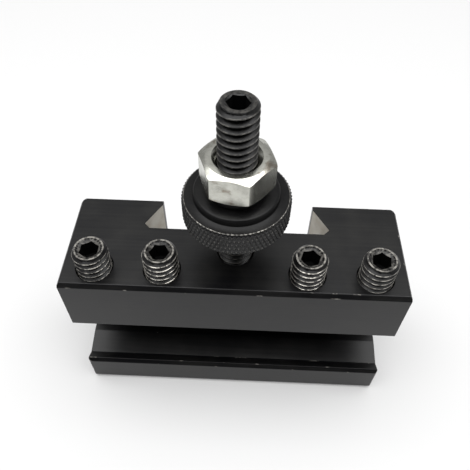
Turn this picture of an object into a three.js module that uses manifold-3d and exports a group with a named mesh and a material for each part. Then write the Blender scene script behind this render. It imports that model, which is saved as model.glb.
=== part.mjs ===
// A quick change tool holder: a slotted steel block that hangs on a dovetail.
// Millimetres. +X runs along the tool slot, -Y is the open side of the slot, +Z is up.
// The origin is at the middle of the block's footprint, at the level it stands on.
import * as THREE from 'three';
import { mergeVertices } from 'three/addons/utils/BufferGeometryUtils.js';
import Module from 'manifold-3d';

// The block. Depths are measured back from the front face of the upper jaw.
const blockLength = 63.5;
const blockDepth = 21.65;
const upperJawHeight = 13.7;
const slotHeight = 14.8;
const lowerJawHeight = 8.4;
const slotDepth = 9.6;
const slotCornerRadius = 0.8;
const edgeChamfer = 0.4;
const topFrontChamfer = 0.7;
const rearCornerChamfer = 1.2;

// The lip of the lower jaw, and the shallow vee behind it that keeps a round bar from rolling out.
const lipProud = 0.6;
const lipCrestDepth = 0.1;
const lipTopChamfer = 0.7;
const lipBottomChamfer = 1.0;
const veeBottomDepth = 1.9;
const veeFarDepth = 6.8;
const veeDrop = 1.0;

// The dovetail groove down the back.
const dovetailMouthWidth = 30.2;
const dovetailDepth = 7.45;
const dovetailLand = 1.25;
const dovetailAngle = 60;
const dovetailCornerFlat = 1.1;

// The thread, the same on the set screws, the stud and its nuts.
const threadDiameter = 6.35;
const threadPitch = 1.27;
const threadDepth = 0.613 * threadPitch;
const threadClearance = 0.1;
const threadSteps = 16;

// The set screws.
const screwLength = 16;
const screwStandsUp = 5.35;
const outerScrewFromEnd = 6.05;
const innerScrewSpacing = 26.6;
const screwDepthFromFront = 4.6;
const screwEndChamfer = 0.55;
const screwCupDiameter = 3.2;
const screwCupDepth = 0.9;

// The hex sockets of the set screws and the stud. Their mouths are countersunk.
const socketAcrossFlats = 3.2;
const screwSocketMouth = 4.6;
const studSocketMouth = 3.8;
const socketDepth = 3.6;
const socketConeDepth = 0.8;

// The height stud. It stands in front of the dovetail groove.
const studToDovetailRoot = 4.75;
const studStandsUp = 33.85;
const wallUnderStudHole = 1.9;
const gapUnderStud = 0.6;

// The thumb nut, and its height above the block.
const thumbNutHeight = 10.6;
const thumbNutDiameter = 18.5;
const thumbNutThickness = 4.9;
const thumbNutRimChamfer = 0.45;
const thumbNutBossDiameter = 14.4;
const thumbNutBossHeight = 1.3;
const thumbNutHubDiameter = 10;
const thumbNutHubHeight = 1.3;

// The lock nut, which stands on the thumb nut's hub.
const lockNutAcrossFlats = 11.11;
const lockNutFaceDiameter = 10.1;
const lockNutThickness = 5.56;
const lockNutTurn = 19;
const nutCountersinkWidth = 0.77;
const nutGap = 0.2;

const roundSteps = 48;
const cutOverrun = 2;

const wasm = await Module();
wasm.setup();

// Places worked out from the sizes above.
const blockHeight = lowerJawHeight + slotHeight + upperJawHeight;
const frontY = (lipProud - blockDepth) / 2;
const backY = frontY + blockDepth;
const slotFloorZ = lowerJawHeight;
const slotCeilingZ = lowerJawHeight + slotHeight;
const threadRadius = threadDiameter / 2;
const boreRadius = (threadRadius + threadClearance) / Math.cos(Math.PI / roundSteps);
const screwY = frontY + screwDepthFromFront;
const studY = backY - dovetailDepth - studToDovetailRoot;
const studHoleBottom = slotCeilingZ + wallUnderStudHole;
const outerScrewX = blockLength / 2 - outerScrewFromEnd;
const innerScrewX = innerScrewSpacing / 2;
const screwPlaces = [-outerScrewX, -innerScrewX, innerScrewX, outerScrewX];

// Turns a closed three.js geometry into a solid that can be cut.
function solidOf(geometry) {
  const bare = geometry.index ? geometry.toNonIndexed() : geometry.clone();
  bare.deleteAttribute('normal');
  bare.deleteAttribute('uv');
  const merged = mergeVertices(bare, 1e-5);
  return new wasm.Manifold(new wasm.Mesh({
    numProp: 3,
    vertProperties: new Float32Array(merged.attributes.position.array),
    triVerts: new Uint32Array(merged.index.array),
  }));
}

// Turns a cut solid back into a three.js geometry.
function geometryOf(solid) {
  const mesh = solid.getMesh();
  const geometry = new THREE.BufferGeometry();
  geometry.setAttribute('position', new THREE.BufferAttribute(mesh.vertProperties, 3));
  geometry.setIndex(new THREE.BufferAttribute(mesh.triVerts, 1));
  geometry.computeVertexNormals();
  return geometry;
}

// A closed outline pushed straight up from z = bottom to z = top.
function prism(shape, bottom, top) {
  const geometry = new THREE.ExtrudeGeometry(shape, {
    depth: top - bottom,
    bevelEnabled: false,
    curveSegments: 6,
  });
  return geometry.translate(0, 0, bottom);
}

// A solid of revolution about Z. Its profile is a list of [radius, z] that goes up from the axis
// and back to it.
function turned(profile, steps = roundSteps) {
  const points = profile.map(([radius, z]) => new THREE.Vector2(radius, z));
  return new THREE.LatheGeometry(points, steps).rotateX(Math.PI / 2);
}

function rod(radius, bottom, top) {
  return turned([[0, bottom], [radius, bottom], [radius, top], [0, top]]);
}

function outline(points) {
  return new THREE.Shape(points.map(([x, y]) => new THREE.Vector2(x, y)));
}

// A regular hexagon. One corner points along +X turned by the given angle.
function hexagon(acrossFlats, turnDegrees = 0) {
  const cornerRadius = acrossFlats / Math.sqrt(3);
  const corners = [];
  for (let i = 0; i < 6; i += 1) {
    const angle = THREE.MathUtils.degToRad(60 * i + turnDegrees);
    corners.push([cornerRadius * Math.cos(angle), cornerRadius * Math.sin(angle)]);
  }
  return outline(corners);
}

// The side view of the block, slot and lip included, as an outline of (depth, height).
function sideOutline() {
  const shape = new THREE.Shape();
  const lipFront = -lipProud;
  const back = blockDepth;
  shape.moveTo(lipFront + lipBottomChamfer, 0);
  shape.lineTo(back - edgeChamfer, 0);
  shape.lineTo(back, edgeChamfer);
  shape.lineTo(back, blockHeight - edgeChamfer);
  shape.lineTo(back - edgeChamfer, blockHeight);
  shape.lineTo(topFrontChamfer, blockHeight);
  shape.lineTo(0, blockHeight - topFrontChamfer);
  shape.lineTo(0, slotCeilingZ + edgeChamfer);
  shape.lineTo(edgeChamfer, slotCeilingZ);
  shape.lineTo(slotDepth - slotCornerRadius, slotCeilingZ);
  shape.absarc(slotDepth - slotCornerRadius, slotCeilingZ - slotCornerRadius,
    slotCornerRadius, Math.PI / 2, 0, true);
  shape.lineTo(slotDepth, slotFloorZ + slotCornerRadius);
  shape.absarc(slotDepth - slotCornerRadius, slotFloorZ + slotCornerRadius,
    slotCornerRadius, 0, -Math.PI / 2, true);
  shape.lineTo(veeFarDepth, slotFloorZ);
  shape.lineTo(veeBottomDepth, slotFloorZ - veeDrop);
  shape.lineTo(lipCrestDepth, slotFloorZ);
  shape.lineTo(lipFront, slotFloorZ - lipTopChamfer);
  shape.lineTo(lipFront, lipBottomChamfer);
  shape.closePath();
  return shape;
}

// The top view of the block with the dovetail groove, as an outline of (x, depth).
function planOutline() {
  const half = blockLength / 2;
  const mouth = dovetailMouthWidth / 2;
  const rootDepth = blockDepth - dovetailDepth;
  const flankStart = blockDepth - dovetailLand;
  const spread = 1 / Math.tan(THREE.MathUtils.degToRad(dovetailAngle));
  const flankEndDepth = rootDepth + dovetailCornerFlat;
  const flankEnd = mouth + (flankStart - flankEndDepth) * spread;
  const rootEnd = flankEnd - dovetailCornerFlat;
  const rightSide = [
    [half - edgeChamfer, -lipProud],
    [half, -lipProud + edgeChamfer],
    [half, blockDepth - rearCornerChamfer],
    [half - rearCornerChamfer, blockDepth],
    [mouth, blockDepth],
    [mouth, flankStart],
    [flankEnd, flankEndDepth],
    [rootEnd, rootDepth],
  ];
  const leftSide = rightSide.map(([x, depth]) => [-x, depth]).reverse();
  return outline([...rightSide, ...leftSide]);
}

// The front view of the block, which gives the small chamfers at its two ends.
function endOutline() {
  const half = blockLength / 2;
  return outline([
    [-half + edgeChamfer, 0],
    [half - edgeChamfer, 0],
    [half, edgeChamfer],
    [half, blockHeight - edgeChamfer],
    [half - edgeChamfer, blockHeight],
    [-half + edgeChamfer, blockHeight],
    [-half, blockHeight - edgeChamfer],
    [-half, edgeChamfer],
  ]);
}

function holderBody() {
  const half = blockLength / 2;
  const side = prism(sideOutline(), -half, half).rotateX(Math.PI / 2).rotateZ(Math.PI / 2);
  side.translate(0, frontY, 0);
  const plan = prism(planOutline(), -cutOverrun, blockHeight + cutOverrun);
  plan.translate(0, frontY, 0);
  const end = prism(endOutline(), -blockDepth, blockDepth).rotateX(Math.PI / 2);
  let body = solidOf(side).intersect(solidOf(plan)).intersect(solidOf(end));
  for (const x of screwPlaces) {
    const hole = rod(boreRadius, slotCeilingZ - cutOverrun, blockHeight + cutOverrun);
    body = body.subtract(solidOf(hole.translate(x, screwY, 0)));
  }
  const studHole = rod(boreRadius, studHoleBottom, blockHeight + cutOverrun);
  return body.subtract(solidOf(studHole.translate(0, studY, 0)));
}

// An endless run of thread about Z, from z = bottom to z = top. Each step of the helix rises by
// one part of a pitch, so the crest and the root are true helices.
function threadStock(bottom, top) {
  const rows = 2 * Math.ceil((top - bottom) / threadPitch) + 7;
  const rootRadius = threadRadius - threadDepth;
  const positions = [];
  for (let column = 0; column < threadSteps; column += 1) {
    const angle = 2 * Math.PI * column / threadSteps;
    for (let row = 0; row < rows + 2; row += 1) {
      const radius = row % 2 === 0 ? rootRadius : threadRadius;
      const z = bottom + threadPitch * ((row - 3) / 2 + column / threadSteps);
      positions.push(radius * Math.cos(angle), radius * Math.sin(angle), z);
    }
  }
  const bottomCentre = positions.length / 3;
  positions.push(0, 0, bottom - 3 * threadPitch);
  positions.push(0, 0, bottom + threadPitch * (rows / 2 + 2));
  const topCentre = bottomCentre + 1;
  const at = (column, row) => (column % threadSteps) * (rows + 2)
    + row + (column === threadSteps ? 2 : 0);
  const faces = [];
  for (let column = 0; column < threadSteps; column += 1) {
    for (let row = 0; row < rows - 1; row += 1) {
      const corner = [at(column, row), at(column + 1, row), at(column + 1, row + 1),
        at(column, row + 1)];
      faces.push(corner[0], corner[1], corner[2], corner[0], corner[2], corner[3]);
    }
    faces.push(bottomCentre, at(column + 1, 0), at(column, 0));
    faces.push(topCentre, at(column, rows - 1), at(column + 1, rows - 1));
  }
  for (const step of [0, 1]) {
    faces.push(bottomCentre, at(0, step), at(0, step + 1));
    faces.push(topCentre, at(0, rows + step), at(0, rows + step - 1));
  }
  const geometry = new THREE.BufferGeometry();
  geometry.setAttribute('position', new THREE.Float32BufferAttribute(positions, 3));
  geometry.setIndex(faces);
  return geometry;
}

function hexSocket(top, mouthDiameter) {
  const mouthRadius = mouthDiameter / 2;
  const mouth = turned([
    [0, top - mouthRadius],
    [mouthRadius, top],
    [mouthRadius, top + cutOverrun],
    [0, top + cutOverrun],
  ], 24);
  const hex = solidOf(prism(hexagon(socketAcrossFlats), top - socketDepth, top + cutOverrun));
  const cone = turned([
    [0, top - socketDepth - socketConeDepth],
    [socketAcrossFlats / 2, top - socketDepth],
    [socketAcrossFlats / 2, top - socketDepth + socketConeDepth],
    [0, top - socketDepth + socketConeDepth],
  ], 24);
  return hex.add(solidOf(cone)).add(solidOf(mouth));
}

// A threaded rod with chamfered ends and a hex socket in its top.
function socketScrew(bottom, top, mouthDiameter) {
  const end = threadRadius - screwEndChamfer;
  const cone = screwEndChamfer + threadClearance;
  const blank = turned([
    [0, bottom],
    [end, bottom],
    [end + cone, bottom + cone],
    [end + cone, top - cone],
    [end, top],
    [0, top],
  ]);
  const rod = solidOf(threadStock(bottom, top)).intersect(solidOf(blank));
  return rod.subtract(hexSocket(top, mouthDiameter));
}

function setScrew() {
  const top = blockHeight + screwStandsUp;
  const bottom = top - screwLength;
  const cup = turned([
    [0, bottom - cutOverrun],
    [screwCupDiameter / 2, bottom - cutOverrun],
    [screwCupDiameter / 2, bottom],
    [0, bottom + screwCupDepth],
  ], 24);
  return socketScrew(bottom, top, screwSocketMouth).subtract(solidOf(cup));
}

function heightStud() {
  const top = blockHeight + studStandsUp;
  return socketScrew(studHoleBottom + gapUnderStud, top, studSocketMouth);
}

function nutBore(bottom, top) {
  const mouthRadius = boreRadius + nutCountersinkWidth;
  return turned([
    [0, bottom - cutOverrun],
    [mouthRadius, bottom - cutOverrun],
    [mouthRadius, bottom],
    [boreRadius, bottom + nutCountersinkWidth],
    [boreRadius, top - nutCountersinkWidth],
    [mouthRadius, top],
    [mouthRadius, top + cutOverrun],
    [0, top + cutOverrun],
  ]);
}

const thumbNutBottom = blockHeight + thumbNutHeight;
const flangeTop = thumbNutBottom + thumbNutThickness;
const bossTop = flangeTop + thumbNutBossHeight;
const thumbNutTop = bossTop + thumbNutHubHeight;
const lockNutBottom = thumbNutTop + nutGap;

function thumbNut() {
  const rim = thumbNutDiameter / 2;
  const boss = thumbNutBossDiameter / 2;
  const hub = thumbNutHubDiameter / 2;
  const blank = turned([
    [0, thumbNutBottom],
    [rim - thumbNutRimChamfer, thumbNutBottom],
    [rim, thumbNutBottom + thumbNutRimChamfer],
    [rim, flangeTop - thumbNutRimChamfer],
    [rim - thumbNutRimChamfer, flangeTop],
    [boss, flangeTop],
    [boss, bossTop - edgeChamfer],
    [boss - edgeChamfer, bossTop],
    [hub, bossTop],
    [hub, thumbNutTop],
    [0, thumbNutTop],
  ]);
  return solidOf(blank).subtract(solidOf(nutBore(thumbNutBottom, thumbNutTop)));
}

function lockNut() {
  const top = lockNutBottom + lockNutThickness;
  const face = lockNutFaceDiameter / 2;
  const corner = lockNutAcrossFlats / Math.sqrt(3);
  const drop = (corner - face) * Math.tan(Math.PI / 6);
  const hex = prism(hexagon(lockNutAcrossFlats, lockNutTurn - 90), lockNutBottom, top);
  const blank = turned([
    [0, lockNutBottom],
    [face, lockNutBottom],
    [corner, lockNutBottom + drop],
    [corner, top - drop],
    [face, top],
    [0, top],
  ]);
  return solidOf(hex).intersect(solidOf(blank)).subtract(solidOf(nutBore(lockNutBottom, top)));
}

const blackOxide = { color: 0x3b3c3d, roughness: 0.42, metalness: 0.9 };
const knurledSteel = { color: 0x48484a, roughness: 0.38, metalness: 0.9 };
const zincPlate = { color: 0xbcbdbc, roughness: 0.28, metalness: 1.0 };

const holder = new THREE.Group();

function addPiece(name, solid, finish, x = 0, y = 0) {
  const mesh = new THREE.Mesh(geometryOf(solid), new THREE.MeshStandardMaterial(finish));
  mesh.name = name;
  mesh.position.set(x, y, 0);
  holder.add(mesh);
}

addPiece('holder_body', holderBody(), blackOxide);
screwPlaces.forEach((x, index) => {
  addPiece(`set_screw_${index + 1}`, setScrew(), blackOxide, x, screwY);
});
addPiece('height_stud', heightStud(), blackOxide, 0, studY);
addPiece('thumb_nut', thumbNut(), knurledSteel, 0, studY);
addPiece('lock_nut', lockNut(), zincPlate, 0, studY);

export default holder;
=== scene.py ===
import math

import bmesh
import bpy
from mathutils import Matrix, Vector


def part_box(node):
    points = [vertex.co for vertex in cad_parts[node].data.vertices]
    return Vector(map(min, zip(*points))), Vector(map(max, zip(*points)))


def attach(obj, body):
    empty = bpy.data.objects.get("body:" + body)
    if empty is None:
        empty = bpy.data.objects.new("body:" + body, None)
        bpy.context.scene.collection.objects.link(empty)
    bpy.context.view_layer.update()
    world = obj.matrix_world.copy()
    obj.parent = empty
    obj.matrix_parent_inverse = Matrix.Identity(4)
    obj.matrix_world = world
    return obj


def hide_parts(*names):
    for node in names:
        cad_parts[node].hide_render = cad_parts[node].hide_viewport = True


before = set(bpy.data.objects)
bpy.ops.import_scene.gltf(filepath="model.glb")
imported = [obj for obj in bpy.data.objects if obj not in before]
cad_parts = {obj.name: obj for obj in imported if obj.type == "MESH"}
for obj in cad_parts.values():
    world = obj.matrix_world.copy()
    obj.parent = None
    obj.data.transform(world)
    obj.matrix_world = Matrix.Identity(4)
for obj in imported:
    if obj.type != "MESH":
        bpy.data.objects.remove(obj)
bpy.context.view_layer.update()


# ---- the view -------------------------------------------------------------------------------
# The holder is looked at from in front and well above, from close by, so its far edges draw in.
# Turn, elevation and lean are in degrees, and lengths in metres, which mm makes of millimetres.
mm = 0.001
view_turn = 1.60
view_elevation = 50.98
view_lean = 0.985
view_distance = 91.86 * mm
view_aim = Vector((-0.12, -2.57, 43.35)) * mm
lens_length = 39.78
film_width = 36.0

camera_data = bpy.data.cameras.new("camera")
camera_data.lens = lens_length
camera_data.sensor_width = film_width
camera_data.clip_start = 2 * mm
camera = bpy.data.objects.new("camera", camera_data)
camera.matrix_world = (
    Matrix.Translation(view_aim)
    @ Matrix.Rotation(math.radians(view_turn), 4, "Z")
    @ Matrix.Rotation(math.radians(90 - view_elevation), 4, "X")
    @ Matrix.Rotation(math.radians(view_lean), 4, "Z")
    @ Matrix.Translation((0, 0, view_distance))
)
bpy.context.scene.collection.objects.link(camera)
bpy.context.scene.camera = camera
bpy.context.scene.view_settings.view_transform = "Standard"


# ---- the table and the light ----------------------------------------------------------------
# A wide white table under one big overhead soft box, in a white room that is dark on the side
# where the viewer stands and dimmer low down. The table glows more where the box's light fades.
table_size = 2.4
table_colour = (0.58, 0.58, 0.58, 1)
table_glow = 0.16
far_glow = 0.85
glow_start = 0.4
glow_end = 1.5
box_width = 0.9
box_depth = 0.5
box_height = 0.55
box_power = 4.5
box_place = (0, -0.04, box_height)
room_dim = 0.42
room_bright = 1.15
viewer_side = (0, -0.83, 0.55)
viewer_side_dark = 0.92


class Link:
    """An output of a node tree. Arithmetic on it adds Math nodes to the tree."""

    def __init__(self, tree, socket=None):
        self.tree = tree
        self.socket = socket

    def node(self, kind, settings=None, values=None, output=0):
        """Adds a node with its settings, then the values or links of its sockets."""
        made = self.tree.nodes.new(kind)
        for name, value in (settings or {}).items():
            setattr(made, name, value)
        for name, value in (values or {}).items():
            if isinstance(value, Link):
                self.tree.links.new(value.socket, made.inputs[name])
            else:
                made.inputs[name].default_value = value
        return Link(self.tree, made.outputs[output])

    def out(self, output):
        """Another output of the same node."""
        return Link(self.tree, self.socket.node.outputs[output])

    def maths(self, operation, *values):
        return self.node("ShaderNodeMath", {"operation": operation}, dict(enumerate(values)))

    def __add__(self, other):
        return self.maths("ADD", self, other)

    def __sub__(self, other):
        return self.maths("SUBTRACT", self, other)

    def __rsub__(self, other):
        return self.maths("SUBTRACT", other, self)

    def __mul__(self, other):
        return self.maths("MULTIPLY", self, other)

    def __truediv__(self, other):
        return self.maths("DIVIDE", self, other)

    __radd__ = __add__
    __rmul__ = __mul__

    def held(self, low=0.0, high=1.0):
        """The value kept between two limits."""
        return self.maths("MINIMUM", self.maths("MAXIMUM", self, low), high)

    def step(self, start, end):
        """0 up to start, 1 from end, and a straight ramp between."""
        return ((self - start) / (end - start)).held()


def finish_tree(name):
    """A new material, with its Principled shader and a link to start from."""
    material = bpy.data.materials.new(name)
    material.use_nodes = True
    return material, material.node_tree.nodes["Principled BSDF"], Link(material.node_tree)


def feed(tree, shader, **sockets):
    """Sets the shader's sockets from values or links, with _ for the spaces in their names."""
    for name, value in sockets.items():
        socket = shader.inputs[name.replace("_", " ")]
        if isinstance(value, Link):
            tree.tree.links.new(value.socket, socket)
        else:
            socket.default_value = value


table_mesh = bpy.data.meshes.new("table")
table_corners = [(-1, -1), (1, -1), (1, 1), (-1, 1)]
table_mesh.from_pydata([(x * table_size, y * table_size, 0) for x, y in table_corners], [],
                       [(0, 1, 2, 3)])
table = bpy.data.objects.new("table", table_mesh)
bpy.context.scene.collection.objects.link(table)
table_white, table_finish, table_tree = finish_tree("table_white")
table_place = table_tree.node("ShaderNodeTexCoord", {}, {}, output="Object")
from_middle = table_tree.node("ShaderNodeVectorMath", {"operation": "LENGTH"},
                              {0: table_place}, output="Value")
table_light = table_glow + far_glow * from_middle.step(glow_start, glow_end)
feed(table_tree, table_finish, Base_Color=table_colour, Roughness=0.9, Specular_IOR_Level=0.1,
     Emission_Color=table_light, Emission_Strength=1.0)
table_mesh.materials.append(table_white)

soft_box_data = bpy.data.lights.new("soft_box", "AREA")
soft_box_data.shape = "RECTANGLE"
soft_box_data.size = box_width
soft_box_data.size_y = box_depth
soft_box_data.energy = box_power
soft_box = bpy.data.objects.new("soft_box", soft_box_data)
soft_box.location = box_place
bpy.context.scene.collection.objects.link(soft_box)

room = bpy.data.worlds.new("room")
room.use_nodes = True
bpy.context.scene.world = room
room_tree = Link(room.node_tree)
sky = room_tree.node("ShaderNodeTexCoord")
axes = room_tree.node("ShaderNodeSeparateXYZ", {}, {"Vector": sky})
height = axes.out("Z")
behind_viewer = room_tree.node("ShaderNodeVectorMath", {"operation": "DOT_PRODUCT"},
                               {0: sky, 1: viewer_side}, output="Value")
brightness = (room_dim + (room_bright - room_dim) * height.step(0.64, 0.80)) \
    * (1 - viewer_side_dark * behind_viewer.step(0.55, 0.85))
seen = room_tree.node("ShaderNodeLightPath", {}, {}, output="Is Camera Ray")
room_light = room.node_tree.nodes["Background"]
room.node_tree.links.new((brightness * (1 - seen) + seen).socket, room_light.inputs["Strength"])
room_light.inputs["Color"].default_value = (1, 1, 1, 1)


# ---- the block ------------------------------------------------------------------------------
# The block is one piece of steel, milled all over, tapped from above and blackened in an oxide
# bath. The flanks of its dovetail are ground bare afterwards. Its sharp edges are broken.
block_rounding = 0.11 * mm
sharp_edge = math.radians(9)
flat_join = math.radians(0.5)
hair = 0.01 * mm
flank_slant = math.sin(math.radians(30))
bore_reach = 3.4 * mm
floor_reach = 3.7 * mm
rim_widening = 0.22 * mm
thread_pitch = 1.27 * mm
tap_depth = 0.36 * mm
oxide_black = (0.0022, 0.0022, 0.0028, 1)
oxide_faded = (0.0115, 0.0113, 0.0104, 1)
oxide_shine = 0.29
edge_bare_share = 0.30
# Painted shade: the dull black that stands in for shade in thread roots, knurl grooves and on the
# thumb nut's flange, boss and hub.
painted_shade_black = (0.003, 0.003, 0.003, 1)
bare_steel = (0.68, 0.65, 0.59, 1)
ground_bright = (0.43, 0.41, 0.365, 1)
ground_stained = (0.32, 0.29, 0.24, 1)


def blended(tree, amount, first, second):
    """One colour turning into another."""
    return tree.node("ShaderNodeMix", {"data_type": "RGBA"},
                     {"Factor": amount, 6: first, 7: second}, output=2)


def grain(tree, scale, detail=3.0, stretch=(1, 1, 1), roughness=0.55):
    """Noise on the piece's own coordinates, longer along an axis whose stretch is small."""
    place = tree.node("ShaderNodeTexCoord", {}, {}, output="Object")
    placed = tree.node("ShaderNodeMapping", {}, {"Vector": place, "Scale": stretch})
    return tree.node("ShaderNodeTexNoise", {},
                     {"Vector": placed, "Scale": scale, "Detail": detail,
                      "Roughness": roughness})


def blackened(name, bare_share=0.0):
    """Oxide black on milled steel: cloudy, with fine cutter lines. A piece with a share of bare
    metal has a "rub" attribute too, of wear and painted shade: below 0.5 painted shade darkens
    it to a dull black, above 0.84 the oxide is rubbed through, mostly in spots, and above 1.05
    most of it has gone."""
    material, shader, tree = finish_tree(name)
    cloud = grain(tree, 140, 4)
    lines = grain(tree, 2000, 2, (0.02, 1, 1))
    pits = grain(tree, 5200, 2)
    rise = 0.6 * lines + 0.4 * pits
    bump = tree.node("ShaderNodeBump", {},
                     {"Height": rise, "Strength": 0.45, "Distance": 0.02 * mm})
    faded = cloud.step(0.42, 0.72) * 0.6 + lines.step(0.40, 0.75) * 0.4
    colour = blended(tree, faded, oxide_black, oxide_faded)
    rough = 0.25 + 0.10 * cloud + 0.08 * lines
    if bare_share:
        wear_and_shade = tree.node("ShaderNodeAttribute", {"attribute_name": "wear_and_shade"}, {}, output="Fac")
        spots = grain(tree, 1300, 3).step(0.40, 0.58)
        bare = wear_and_shade.step(0.84, 0.97) * (0.12 + 0.88 * spots) * bare_share
        bare = tree.maths("MAXIMUM", bare, wear_and_shade.step(1.05, 1.20) * (0.25 + 0.75 * spots))
        colour = blended(tree, bare, colour, bare_steel)
        feed(tree, shader, Metallic=bare)
        rough = rough - 0.10 * bare
        # Painted shade: a dull black finish is mixed in where the value falls below 0.5. It stands
        # in for shade in thread roots and knurl grooves and under the nuts.
        painted_shade = tree.node("ShaderNodeBsdfPrincipled", {}, {
            "Base Color": painted_shade_black, "Roughness": 0.75, "Specular IOR Level": 0.06})
        unshaded = Link(tree.tree, shader.outputs[0])
        mixed = tree.node("ShaderNodeMixShader", {}, {0: wear_and_shade.step(0.05, 0.50), 1: painted_shade, 2: unshaded})
        surface = tree.tree.nodes["Material Output"].inputs["Surface"]
        tree.tree.links.new(mixed.socket, surface)
    feed(tree, shader, Base_Color=colour, Roughness=rough, Normal=bump,
         Specular_IOR_Level=oxide_shine)
    return material


def rubbed_edge():
    """The oxide worn thin along the broken edges, down to steel in short runs."""
    material, shader, tree = finish_tree("oxide_rubbed")
    runs = grain(tree, 420, 3)
    bare = runs.step(0.62, 0.72) * edge_bare_share
    feed(tree, shader, Base_Color=blended(tree, bare, oxide_black, bare_steel),
         Metallic=bare, Roughness=0.30 + 0.10 * runs, Specular_IOR_Level=oxide_shine)
    return material


def ground_steel():
    """Bare steel ground along the groove: fine lines up the flank, a little stained."""
    material, shader, tree = finish_tree("ground_steel")
    lines = grain(tree, 2600, 2, (1, 1, 0.03))
    stain = grain(tree, 260, 4)
    colour = blended(tree, stain.step(0.40, 0.70), ground_bright, ground_stained)
    bump = tree.node("ShaderNodeBump", {},
                     {"Height": lines, "Strength": 0.35, "Distance": 0.01 * mm})
    feed(tree, shader, Base_Color=colour, Metallic=1.0, Roughness=0.26 + 0.14 * lines,
         Normal=bump)
    return material


# The thread that a tap or a die cuts: a wall of radius Radius with a helical groove, which opens
# inwards on a rod and, with a negative Groove, outwards in a hole. Its two ends slope to End
# Radius, as a chamfer or a countersink does. The crest, slope and run out are in turns.
thread_tree = bpy.data.node_groups.new("cut_thread", "GeometryNodeTree")
for label, kind in [("Radius", "Float"), ("Groove", "Float"), ("End Radius", "Float"),
                    ("Pitch", "Float"), ("Low", "Float"), ("High", "Float"),
                    ("Segments", "Int"), ("Turn", "Float"), ("Centre", "Vector"),
                    ("Material", "Material")]:
    thread_tree.interface.new_socket(label, in_out="INPUT", socket_type="NodeSocket" + kind)
thread_tree.interface.new_socket("Mesh", in_out="OUTPUT", socket_type="NodeSocketGeometry")


def tree_inputs(tree):
    """The named inputs of a node tree, each ready for arithmetic."""
    entry = tree.nodes.new("NodeGroupInput")
    return {socket.name: Link(tree, socket) for socket in entry.outputs if socket.name}


def wall_grid(tree, columns, rows):
    """A flat grid: its mesh, then how far round (0 to 1) and which row each point is."""
    grid = tree.node("GeometryNodeMeshGrid", {},
                     {"Size X": 1.0, "Size Y": 1.0, "Vertices X": columns, "Vertices Y": rows})
    place = tree.node("ShaderNodeSeparateXYZ", {},
                      {"Vector": tree.node("GeometryNodeInputPosition")})
    across = tree.maths("ROUND", (place + 0.5) * (columns - 1)) / (columns - 1)
    return grid, across, tree.maths("ROUND", (place.out("Y") + 0.5) * (rows - 1))


def wrapped(tree, grid, around, radius, height, centre, inputs, flip):
    """Rolls the grid round its vertical axis, welds the seam and sends it to the output."""
    angle = around * math.tau + inputs["Turn"]
    rolled = tree.node("ShaderNodeCombineXYZ", {},
                       {"X": tree.maths("COSINE", angle) * radius,
                        "Y": tree.maths("SINE", angle) * radius, "Z": height})
    placed = tree.node("ShaderNodeVectorMath", {"operation": "ADD"}, {0: rolled, 1: centre})
    mesh = tree.node("GeometryNodeSetPosition", {}, {"Geometry": grid, "Position": placed})
    mesh = tree.node("GeometryNodeMergeByDistance", {}, {"Geometry": mesh, "Distance": 2e-6})
    mesh = tree.node("GeometryNodeFlipFaces", {}, {"Mesh": mesh, "Selection": flip})
    mesh = tree.node("GeometryNodeRealizeInstances", {}, {"Geometry": mesh})
    mesh = tree.node("GeometryNodeSetMaterial", {},
                     {"Geometry": mesh, "Material": inputs["Material"]})
    tree.tree.links.new(mesh.socket, tree.tree.nodes.new("NodeGroupOutput").inputs[0])


thread = Link(thread_tree)
given = tree_inputs(thread_tree)
rows_per_turn = 8
crest_width = 0.125
slope_width = 0.375
run_out = 0.25
turns = (given["High"] - given["Low"]) / given["Pitch"]
thread_rows = thread.maths("CEIL", turns + 1.0) * rows_per_turn + 2.0
sheet, around, row = wall_grid(thread, given["Segments"] + 1.0, thread_rows)
level = given["Low"] + given["Pitch"] * ((row - 0.5) / rows_per_turn + around - 1.0)
level = level.held(given["Low"], given["High"])
phase = thread.maths("FRACT", (level - given["Low"]) / given["Pitch"] - around + 1.0)
to_end = thread.maths("MINIMUM", level - given["Low"], given["High"] - level)
groove_size = thread.maths("ABSOLUTE", given["Groove"])
groove_shape = (thread.maths("ABSOLUTE", phase - 0.5) - crest_width / 2) / slope_width
groove_cut = groove_shape.held() * groove_size * (to_end / (given["Pitch"] * run_out)).held()
end_cut = thread.maths("ABSOLUTE", given["Radius"] - given["End Radius"]) - to_end
cut = thread.maths("MAXIMUM", groove_cut, end_cut)
wall_radius = given["Radius"] - thread.maths("SIGN", given["Groove"]) * cut
wrapped(thread, sheet, around, wall_radius, level, given["Centre"], given,
        thread.maths("LESS_THAN", given["Groove"], 0.0))


def grown(tree, settings):
    """Runs a node tree once and gives its result as a plain mesh, on its first material."""
    carrier = bpy.data.objects.new("carrier", bpy.data.meshes.new("carrier"))
    modifier = carrier.modifiers.new("shape", "NODES")
    modifier.node_group = tree
    for item in tree.interface.items_tree:
        if item.in_out == "INPUT":
            modifier[item.identifier] = settings[item.name]
    bpy.context.scene.collection.objects.link(carrier)
    depsgraph = bpy.context.evaluated_depsgraph_get()
    mesh = bpy.data.meshes.new_from_object(carrier.evaluated_get(depsgraph))
    bpy.data.objects.remove(carrier)
    mesh.polygons.foreach_set("material_index", [0] * len(mesh.polygons))
    return mesh


def add_thread(body, centre, low, high, radius, groove, end_radius, material,
               segments=72, turn=0.0):
    """Adds a threaded wall to a bmesh. Its grid starts at an angle of turn."""
    mesh = grown(thread_tree, {
        "Radius": radius, "Groove": groove, "End Radius": end_radius, "Pitch": thread_pitch,
        "Low": low, "High": high, "Segments": segments, "Turn": turn,
        "Centre": (centre.x, centre.y, 0.0), "Material": material})
    body.from_mesh(mesh)


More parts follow.
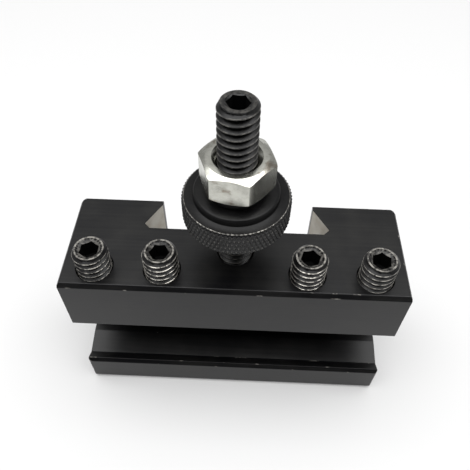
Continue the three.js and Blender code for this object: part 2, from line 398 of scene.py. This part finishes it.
def add_piece(name, shape, materials, body, node, sharp=32):
    """Closes a bmesh into a finished piece that rides on a body in place of its CAD node."""
    bmesh.ops.remove_doubles(shape, verts=shape.verts, dist=3e-6)
    bmesh.ops.recalc_face_normals(shape, faces=shape.faces)
    mesh = bpy.data.meshes.new(name)
    shape.to_mesh(mesh)
    shape.free()
    for material in materials:
        mesh.materials.append(material)
    mesh.polygons.foreach_set("use_smooth", [True] * len(mesh.polygons))
    mesh.set_sharp_from_angle(angle=math.radians(sharp))
    piece = bpy.data.objects.new(name, mesh)
    bpy.context.scene.collection.objects.link(piece)
    weigh = piece.modifiers.new("even shading", "WEIGHTED_NORMAL")
    weigh.keep_sharp = True
    depsgraph = bpy.context.evaluated_depsgraph_get()
    piece.data = bpy.data.meshes.new_from_object(piece.evaluated_get(depsgraph))
    piece.modifiers.clear()
    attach(piece, body)
    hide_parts(node)
    return piece


def axis_distance(point, centre):
    """How far a point is from a vertical axis."""
    return math.hypot(point.x - centre.x, point.y - centre.y)


block = bmesh.new()
block.from_mesh(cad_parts["holder_body"].data)
bmesh.ops.remove_doubles(block, verts=block.verts, dist=2e-6)

screw_names = ["set_screw_1", "set_screw_2", "set_screw_3", "set_screw_4"]
hole_centres = []
for node_name in screw_names + ["height_stud"]:
    low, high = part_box(node_name)
    hole_centres.append((low + high) / 2)

bore_faces = []
hole_ends = []
for centre in hole_centres:
    wall = [face for face in block.faces
            if all(axis_distance(v.co, centre) < bore_reach for v in face.verts)]
    heights = [v.co.z for face in wall for v in face.verts]
    bore_radius = max(axis_distance(v.co, centre) for face in wall for v in face.verts)
    hole_ends.append((min(heights), max(heights)))
    bore_faces += wall
bmesh.ops.delete(block, geom=bore_faces, context="FACES")
bmesh.ops.dissolve_limit(block, angle_limit=flat_join, verts=block.verts,
                         edges=block.edges)

block.normal_update()
for face in block.faces:
    is_flank = abs(face.normal.y + flank_slant) < 0.01 and abs(face.normal.z) < 0.01
    face.material_index = 1 if is_flank else 0
broken_edges = [edge for edge in block.edges
                if len(edge.link_faces) == 2 and edge.calc_face_angle() > sharp_edge]
bmesh.ops.bevel(block, geom=broken_edges, offset=block_rounding, offset_type="OFFSET",
                segments=2, profile=0.5, affect="EDGES", clamp_overlap=True, material=2)

oxide = blackened("oxide_black")
for centre, (hole_low, hole_high) in zip(hole_centres, hole_ends):
    for vert in block.verts:
        away = axis_distance(vert.co, centre)
        if away < bore_reach:
            wider = (bore_radius + rim_widening) / away
            vert.co.x = centre.x + (vert.co.x - centre.x) * wider
            vert.co.y = centre.y + (vert.co.y - centre.y) * wider
    add_thread(block, centre, hole_low, hole_high, bore_radius, -tap_depth,
               bore_radius + rim_widening, oxide, segments=48)
stud_hole = hole_centres[-1]
stud_hole_floor = hole_ends[-1][0]
floor_ring = [vert for vert in block.verts if axis_distance(vert.co, stud_hole) < floor_reach
              and abs(vert.co.z - stud_hole_floor) < hair]
bmesh.ops.contextual_create(block, geom=floor_ring)
add_piece("holder_body_detail", block, [oxide, ground_steel(), rubbed_edge()], "holder",
          "holder_body")


# ---- the set screws -------------------------------------------------------------------------
# Four headless alloy screws with a rolled thread, a hex socket at the top and a cup point at the
# bottom. Keys and chips have rubbed the blackening off the crests and the sockets' mouths, and
# the thread roots are darkened with painted shade.
screw_groove = 0.78 * mm
screw_end_taper = 0.55 * mm
first_crest = 0.75 * mm
socket_flats = 3.2 * mm
socket_depth = 3.6 * mm
socket_cone = 0.8 * mm
socket_lip = 0.04 * mm
mouth_slope = math.tan(math.radians(30))
mouth_wear = 0.12 * mm
mouth_margin = 0.06 * mm
screw_bare_share = 0.95
mouth_rub = 0.86
end_rub = 0.90
screw_mouth = 2.3 * mm
cup_radius = 1.6 * mm
cup_depth = 0.9 * mm


def hexagonal(flats, angle):
    """How far a hexagon's side is from its centre, at an angle from one of its corners."""
    return flats / 2 / math.cos(angle % (math.pi / 3) - math.pi / 6)


def add_rings(body, centre, rings, turn=0.0, segments=72):
    """Skins a stack of rings about a vertical line. A ring is (radius, height); either may be a
    function of the angle round the line, and a radius of 0 is a single point."""
    before = None
    for radius, height in rings:
        ring = []
        for i in range(segments if radius != 0 else 1):
            angle = math.tau * i / segments
            r = radius(angle) if callable(radius) else radius
            z = height(angle) if callable(height) else height
            ring.append(body.verts.new((centre.x + r * math.cos(angle + turn),
                                        centre.y + r * math.sin(angle + turn), z)))
        for i in range(segments if before else 0):
            j = (i + 1) % segments
            corners = [before[i % len(before)], before[j % len(before)],
                       ring[j % len(ring)], ring[i % len(ring)]]
            body.faces.new(dict.fromkeys(corners))
        before = ring


def mark_wear_and_shade(piece, rubbed):
    """Writes each point's wear and painted shade, as its blackened finish reads it: high values
    wear it bare, and low ones paint shade on it.
    """
    wear_and_shade = piece.data.attributes.new("wear_and_shade", "FLOAT", "POINT")
    wear_and_shade.data.foreach_set("value", [max(0.0, rubbed(v.co)) for v in piece.data.vertices])


def socket_screw(node_name, body_name, material, mouth, cupped, key_turn, handled=1.0):
    """A threaded rod with a hex socket, where the CAD has its node. The socket's corners turn
    with key_turn, in degrees, in steps of 5. The less it was handled, the less its crests are
    rubbed."""
    low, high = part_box(node_name)
    centre = (low + high) / 2
    radius = (high.x - low.x) / 2
    end = radius - screw_end_taper
    start = -math.pi / 2 - math.tau * ((high.z - low.z - first_crest) / thread_pitch - 0.5)

    def hexagon(angle):
        return hexagonal(socket_flats, angle + math.radians(key_turn))

    def mouth_edge(angle):
        return high.z - socket_lip - (mouth - hexagon(angle)) * mouth_slope

    def rubbed(point):
        from_axis = axis_distance(point, centre)
        below_end = high.z - point.z
        mouth_here = (mouth - from_axis) * mouth_slope + mouth_margin
        if from_axis < mouth and below_end < mouth_here:
            return mouth_rub
        # Painted shade: low values near the thread's roots darken them as shade, and high ones at
        # the crests wear them bare.
        reach = (from_axis - radius + screw_groove) / screw_groove
        return end_rub if below_end < socket_lip / 2 else handled * reach

    shape = bmesh.new()
    add_thread(shape, centre, low.z, high.z, radius, screw_groove, end, material, turn=start)
    add_rings(shape, centre, [
        (end, high.z),
        (mouth + socket_lip, high.z),
        (mouth, high.z - socket_lip),
        (lambda angle: (mouth + hexagon(angle)) / 2,
         lambda angle: (high.z - socket_lip + mouth_edge(angle)) / 2),
        (hexagon, mouth_edge),
        (hexagon, lambda angle: mouth_edge(angle) - mouth_wear),
        (hexagon, high.z - socket_depth),
        (socket_flats / 2 * 0.98, high.z - socket_depth),
        (0, high.z - socket_depth - socket_cone),
    ], turn=start)
    point = [(end, low.z), (0, low.z)]
    if cupped:
        point = [(end, low.z), (cup_radius, low.z), (0, low.z + cup_depth)]
    add_rings(shape, centre, point, turn=start)
    piece = add_piece(node_name + "_detail", shape, [material], body_name, node_name)
    mark_wear_and_shade(piece, rubbed)


screw_black = blackened("screw_black", screw_bare_share)
key_turns = [0, 25, 15, 5]
handling = [0.94, 1.0, 1.0, 0.93]
for node_name, key_turn, handled in zip(screw_names, key_turns, handling):
    socket_screw(node_name, node_name, screw_black, screw_mouth, True,
                 key_turn, handled)


# ---- the height stud ------------------------------------------------------------------------
# A long stud with the same thread and socket, screwed hard home in the block's top face. It has
# seen less handling, so its black is more even.
stud_mouth = 1.9 * mm
stud_key_turn = 15
stud_bare_share = 0.15
stud_black = blackened("stud_black", stud_bare_share)
socket_screw("height_stud", "holder", stud_black, stud_mouth, False,
             stud_key_turn)


# ---- the thumb nut --------------------------------------------------------------------------
# A turned and knurled steel nut with a low boss and a hub. Its flange hangs the holder on the
# tool post. Two wheels press the knurl in, so its diamonds stand between crossed grooves.
knurl_count = 80
knurl_depth = 0.30 * mm
knurl_lead = 1.8 * mm
knurl_bare_share = 0.35
# Painted shade: the hub, the boss, the flange's top and the knurl's roots take low values, which
# darken them as the shade under the lock nut and in the grooves.
hub_shade = 0.15
flange_shade = 0.32
rim_rub = 1.15
root_shade = 0.35
tip_rub = 0.97
rim_chamfer = 0.45 * mm
rim_wear = 0.08 * mm
flange_thickness = 4.9 * mm
boss_radius = 7.2 * mm
boss_height = 1.3 * mm
boss_rounding = 0.4 * mm
hub_radius = 5 * mm
tool_nose = 0.10 * mm
nut_clearance = 0.10 * mm
nut_groove = 0.5 * mm
nut_mouth = 0.77 * mm

knurl_tree = bpy.data.node_groups.new("knurl", "GeometryNodeTree")
for label, kind in [("Radius", "Float"), ("Depth", "Float"), ("Chamfer", "Float"),
                    ("Count", "Int"), ("Lead", "Float"), ("Low", "Float"), ("High", "Float"),
                    ("Turn", "Float"), ("Centre", "Vector"), ("Material", "Material")]:
    knurl_tree.interface.new_socket(label, in_out="INPUT", socket_type="NodeSocket" + kind)
knurl_tree.interface.new_socket("Mesh", in_out="OUTPUT", socket_type="NodeSocketGeometry")
knurl = Link(knurl_tree)
wheel = tree_inputs(knurl_tree)
steps_per_diamond = 8
tip_flat = 0.85
knurl_segments = knurl_count * steps_per_diamond
band = wheel["High"] - wheel["Low"]
knurl_rows = knurl.maths("CEIL", band / wheel["Lead"] * steps_per_diamond) + 1.0
sheet, around, row = wall_grid(knurl, wheel["Count"] * steps_per_diamond + 1.0, knurl_rows)
level = wheel["Low"] + band * row / (knurl_rows - 1.0)
# Whole turns keep the lean above nought, so that its fraction runs one way.
whole_turns = 64.0
leaning = [
    knurl.maths("FRACT", around * wheel["Count"] + sign * row / steps_per_diamond + whole_turns)
    for sign in (1.0, -1.0)]
ridges = [knurl.maths("ABSOLUTE", lean * 2.0 - 1.0) for lean in leaning]
diamond = knurl.maths("MINIMUM", *ridges)
diamond = knurl.maths("MINIMUM", diamond, tip_flat) / tip_flat
to_rim = knurl.maths("MINIMUM", level - wheel["Low"], wheel["High"] - level)
cut = knurl.maths("MAXIMUM", (1.0 - diamond) * wheel["Depth"], wheel["Chamfer"] - to_rim)
wrapped(knurl, sheet, around, wheel["Radius"] - cut, level, wheel["Centre"], wheel, False)


stud_low, stud_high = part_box("height_stud")
stud_radius = (stud_high.x - stud_low.x) / 2
nut_bore_radius = stud_radius + nut_clearance
thumb_low, thumb_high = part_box("thumb_nut")
thumb_centre = (thumb_low + thumb_high) / 2
thumb_radius = (thumb_high.x - thumb_low.x) / 2
flange_top = thumb_low.z + flange_thickness
boss_top = flange_top + boss_height
knurl_black = blackened("knurl_black", knurl_bare_share)
thumb = bmesh.new()
add_thread(thumb, thumb_centre, thumb_low.z, thumb_high.z, nut_bore_radius, -nut_groove,
           nut_bore_radius + nut_mouth, knurl_black, segments=knurl_segments)
knurl_band = grown(knurl_tree, {
    "Radius": thumb_radius, "Depth": knurl_depth, "Chamfer": rim_chamfer, "Count": knurl_count,
    "Lead": knurl_lead, "Low": thumb_low.z, "High": flange_top, "Turn": 0.0,
    "Centre": (thumb_centre.x, thumb_centre.y, 0.0), "Material": knurl_black})
thumb.from_mesh(knurl_band)
add_rings(thumb, thumb_centre, [
    (thumb_radius - rim_chamfer, flange_top),
    (thumb_radius - rim_chamfer - rim_wear, flange_top),
    (boss_radius + tool_nose, flange_top),
    (boss_radius, flange_top + tool_nose),
    (boss_radius, boss_top - boss_rounding),
    (boss_radius - 0.3 * boss_rounding, boss_top - 0.3 * boss_rounding),
    (boss_radius - boss_rounding, boss_top),
    (hub_radius, boss_top),
    (hub_radius, thumb_high.z - tool_nose),
    (hub_radius - tool_nose, thumb_high.z),
    (nut_bore_radius + nut_mouth, thumb_high.z),
], segments=knurl_segments)
add_rings(thumb, thumb_centre, [
    (nut_bore_radius + nut_mouth, thumb_low.z),
    (thumb_radius - rim_chamfer, thumb_low.z),
], segments=knurl_segments)
thumb_nut = add_piece("thumb_nut_detail", thumb, [knurl_black], "thumb_nut", "thumb_nut",
                      sharp=50)


def knurl_wear_and_shade(point):
    """The diamonds' tips and the flange's rim are worn bare; the boss, the hub, the flange's top
    and the grooves between the diamonds are darkened with painted shade.
    """
    from_axis = axis_distance(point, thumb_centre)
    if point.z > boss_top + hair or abs(from_axis - boss_radius) < hair:
        return hub_shade
    if from_axis < thumb_radius - rim_chamfer - hair:
        return flange_shade
    if from_axis < thumb_radius - rim_chamfer + hair:
        return rim_rub
    return root_shade + (tip_rub - root_shade) * (from_axis - thumb_radius + knurl_depth) / knurl_depth


mark_wear_and_shade(thumb_nut, knurl_wear_and_shade)


# ---- the lock nut ---------------------------------------------------------------------------
# A standard full hex nut, cold formed with both faces chamfered, tapped and bright zinc plated.
# It is run down the stud onto the thumb nut, and locks it.
nut_corner_turn = math.radians(-71)
nut_flats = 11.11 * mm
nut_face_radius = 5.05 * mm
chamfer_slope = math.tan(math.radians(30))
corner_rounding = 0.10 * mm
face_edge_width = 0.08 * mm
face_edge_drop = 0.02 * mm
zinc_bright = (0.56, 0.56, 0.51, 1)
zinc_bloom = (0.38, 0.38, 0.34, 1)
zinc_stain = (0.20, 0.16, 0.12, 1)


def zinc_plate():
    """Bright zinc with the dull bloom and brown stain that old plating has."""
    material, shader, tree = finish_tree("bright_zinc")
    bloom = grain(tree, 420, 4)
    stain = grain(tree, 300, 5, (1, 1, 1.3), 0.7)
    scratches = grain(tree, 2400, 2, (0.2, 1, 1))
    colour = blended(tree, bloom.step(0.40, 0.70), zinc_bright, zinc_bloom)
    colour = blended(tree, stain.step(0.54, 0.66) * 0.75, colour, zinc_stain)
    bump = tree.node("ShaderNodeBump", {},
                     {"Height": 0.6 * bloom + 0.4 * scratches, "Strength": 0.3,
                      "Distance": 0.03 * mm})
    feed(tree, shader, Base_Color=colour, Metallic=1.0, Roughness=0.13 + 0.22 * bloom,
         Normal=bump)
    return material


lock_low, lock_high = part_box("lock_nut")
lock_centre = (lock_low + lock_high) / 2
zinc = zinc_plate()
lock_corner = nut_flats / math.sqrt(3) - corner_rounding


def nut_side(angle):
    """How far the nut's side is from its axis, with the corners taken off."""
    return min(hexagonal(nut_flats, angle), lock_corner)


def nut_drop(angle):
    """How far the chamfer falls from the face's rim out to the side."""
    return (nut_side(angle) - nut_face_radius) * chamfer_slope


lock = bmesh.new()
add_thread(lock, lock_centre, lock_low.z, lock_high.z, nut_bore_radius, -nut_groove,
           nut_bore_radius + nut_mouth, zinc, turn=nut_corner_turn)
add_rings(lock, lock_centre, [
    (nut_bore_radius + nut_mouth, lock_high.z),
    (nut_face_radius - face_edge_width, lock_high.z),
    (nut_face_radius, lock_high.z - face_edge_drop),
    (nut_side, lambda angle: lock_high.z - nut_drop(angle)),
    (nut_side, lambda angle: lock_low.z + nut_drop(angle)),
    (nut_face_radius, lock_low.z),
    (nut_bore_radius + nut_mouth, lock_low.z),
], turn=nut_corner_turn)
add_piece("lock_nut_detail", lock, [zinc], "lock_nut", "lock_nut", sharp=20)
